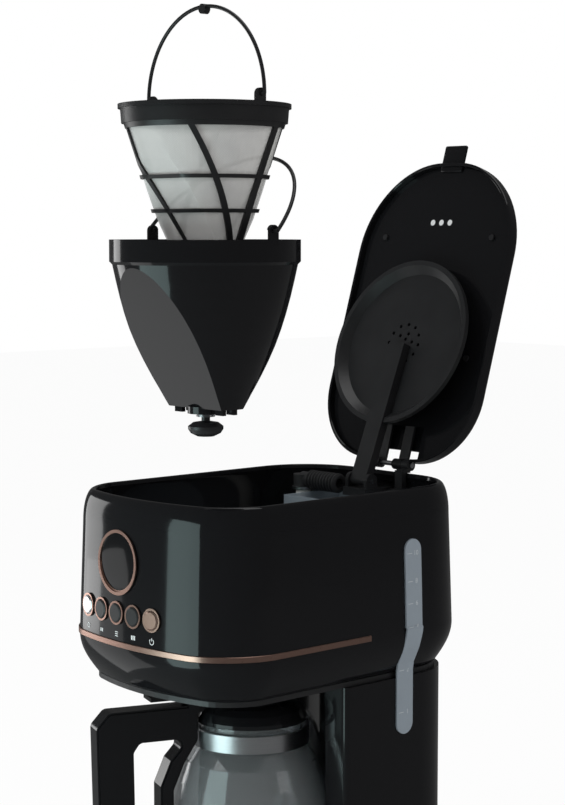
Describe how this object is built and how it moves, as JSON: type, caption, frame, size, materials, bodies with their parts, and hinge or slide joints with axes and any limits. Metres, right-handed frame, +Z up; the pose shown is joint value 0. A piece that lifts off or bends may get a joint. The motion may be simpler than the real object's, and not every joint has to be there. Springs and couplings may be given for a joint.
{
  "type": "drip coffee maker",
  "caption": "Drip coffee maker with a hinged lid, swing-up shower arm, lift-out filter holder and mesh filter, and a glass carafe on a hotplate.",
  "frame": {"origin": "middle of the machine's footprint on the worktop", "axes": "+X towards the side with the water gauge, -Y towards the bowed front with the controls, +Z up"},
  "size_m": [0.2484, 0.4048, 0.678],
  "materials": {
    "black_gloss": "polished",
    "black_satin": "satin",
    "rubber_black": "matt",
    "rose_gold": "polished plating",
    "steel": "bright",
    "heater_metal": "cast",
    "plate_coating": "non-stick coating",
    "board_green": "resist",
    "tube_clear": "silicone",
    "tank_smoke": "smoked plastic",
    "float_red": "moulded",
    "window_black": "polished",
    "seal_red": "silicone",
    "mesh_nylon": "fine nylon mesh",
    "clear_glass": "clear"
  },
  "bodies": {
    "machine": {"base_shell": "black_gloss", "bottom_cover": "black_satin", "rubber_feet": "rubber_black", "hotplate": "plate_coating", "hotplate_ring": "rose_gold", "flow_heater": "heater_metal", "thermostat": "heater_metal", "power_board": "board_green", "case_screws": "steel", "cord_gland": "black_satin", "column_housing": "black_gloss", "column_back": "black_satin", "riser_tube": "tube_clear", "feed_tube": "tube_clear", "head_skirt": "black_gloss", "bay_floor": "black_satin", "head_housing": "black_gloss", "head_trim": "rose_gold", "water_tank": "tank_smoke", "water_gauge": "tank_smoke", "float_ball": "float_red", "display_ring": "rose_gold", "display_window": "window_black", "display_board": "board_green", "button_rings": "rose_gold", "button_springs": "steel", "hinge_bracket": "black_satin", "lid_pin": "steel", "arm_pin": "steel", "shower_hose": "rubber_black", "hose_clips": "steel"},
    "lid": {"lid_outer": "black_gloss", "lid_tab": "black_gloss", "lid_inner": "black_gloss", "lid_knuckles": "black_satin", "lid_screws": "steel"},
    "shower_arm": {"shower_arm": "black_satin", "shower_disc": "black_satin"},
    "holder": {"holder_body": "black_gloss", "valve_spring": "steel"},
    "holder_bail": {"holder_bail": "black_satin"},
    "drip_valve": {"valve_stem": "black_satin", "valve_seal": "seal_red"},
    "mesh_filter": {"filter_frame": "black_satin", "filter_ribs": "black_satin", "filter_mesh": "mesh_nylon"},
    "filter_bail": {"filter_bail": "black_satin"},
    "carafe": {"carafe_glass": "clear_glass", "carafe_band": "steel", "carafe_handle": "black_gloss", "handle_screw": "steel", "carafe_pin": "steel"},
    "carafe_lid": {"carafe_lid": "black_gloss"},
    "button_1": {"button_1": "steel"},
    "button_2": {"button_2": "black_satin"},
    "button_3": {"button_3": "black_satin"},
    "button_4": {"button_4": "black_satin"},
    "button_5": {"button_5": "rose_gold"}
  },
  "joints": [
    {"name": "lid_hinge", "type": "hinge", "parent": "machine", "child": "lid", "pos_m": [0, 0.131, 0.336], "axis": [-1, 0, 0], "range_deg": [-107, 0]},
    {"name": "arm_hinge", "type": "hinge", "parent": "machine", "child": "shower_arm", "pos_m": [0, 0.1, 0.3245], "axis": [-1, 0, 0], "range_deg": [-112, 0]},
    {"name": "basket_lift", "type": "slide", "parent": "machine", "child": "holder", "axis": [0.3121, -0.4378, 0.8432], "range_m": [-0.24649, 0]},
    {"name": "filter_lift", "type": "slide", "parent": "holder", "child": "mesh_filter", "axis": [0, 0, 1], "range_m": [-0.092, 0]},
    {"name": "basket_bail", "type": "hinge", "parent": "holder", "child": "holder_bail", "pos_m": [0.077, -0.121, 0.524], "axis": [1, 0, 0], "range_deg": [-48, 0]},
    {"name": "filter_bail_fold", "type": "hinge", "parent": "mesh_filter", "child": "filter_bail", "pos_m": [0.077, -0.126, 0.6145], "axis": [1, 0, 0], "range_deg": [-90, 0]},
    {"name": "carafe_slide", "type": "slide", "parent": "machine", "child": "carafe", "axis": [0, 1, 0], "range_m": [-0.16, 0]},
    {"name": "carafe_lid_tilt", "type": "hinge", "parent": "carafe", "child": "carafe_lid", "pos_m": [-0.01696, -0.06461, 0.1705], "axis": [0.9397, -0.342, 0], "range_deg": [0, 6]},
    {"name": "valve_press", "type": "slide", "parent": "holder", "child": "drip_valve", "axis": [0, 0, 1], "range_m": [0, 0.0025], "stiffness_N_per_m": 400},
    {"name": "press_button_1", "type": "slide", "parent": "machine", "child": "button_1", "axis": [0.184, 0.9829, 0], "range_m": [0, 0.0012], "stiffness_N_per_m": 500},
    {"name": "press_button_2", "type": "slide", "parent": "machine", "child": "button_2", "axis": [0.1144, 0.9934, 0], "range_m": [0, 0.0012], "stiffness_N_per_m": 500},
    {"name": "press_button_3", "type": "slide", "parent": "machine", "child": "button_3", "axis": [0.0432, 0.9991, 0], "range_m": [0, 0.0012], "stiffness_N_per_m": 500},
    {"name": "press_button_4", "type": "slide", "parent": "machine", "child": "button_4", "axis": [-0.0288, 0.9996, 0], "range_m": [0, 0.0012], "stiffness_N_per_m": 500},
    {"name": "press_button_5", "type": "slide", "parent": "machine", "child": "button_5", "axis": [-0.1003, 0.995, 0], "range_m": [0, 0.0012], "stiffness_N_per_m": 500}
  ],
  "couplings": [
    {"joint": "arm_hinge", "follows": "lid_hinge", "ratio": 1.0467},
    {"joint": "basket_bail", "follows": "filter_lift", "rad_per_m": 9.1061}
  ]
}
